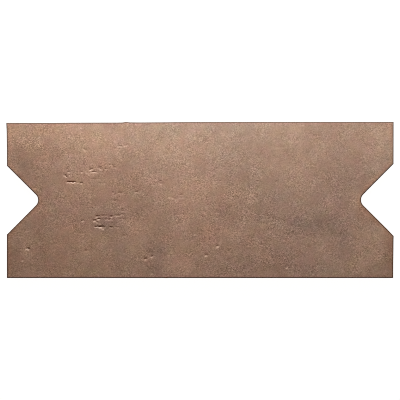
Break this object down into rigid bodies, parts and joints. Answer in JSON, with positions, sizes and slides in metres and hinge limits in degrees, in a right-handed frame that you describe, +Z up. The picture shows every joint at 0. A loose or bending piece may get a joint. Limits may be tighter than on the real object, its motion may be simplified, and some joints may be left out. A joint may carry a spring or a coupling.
{
  "type": "notched porcelain floor tile",
  "caption": "Long brown porcelain floor tile with a right-angled notch in each short end for the corner of a diagonal square inset, and a keyed back for the adhesive.",
  "frame": {"origin": "middle of the tile's outline, on the plane that its back rests on", "axes": "+X along the tile towards the larger notch, +Y across it, +Z up out of the wearing face"},
  "size_m": [0.396, 0.16, 0.01],
  "materials": {
    "porcelain": "matte"
  },
  "bodies": {
    "root": {"tile": "porcelain"}
  },
  "joints": []
}
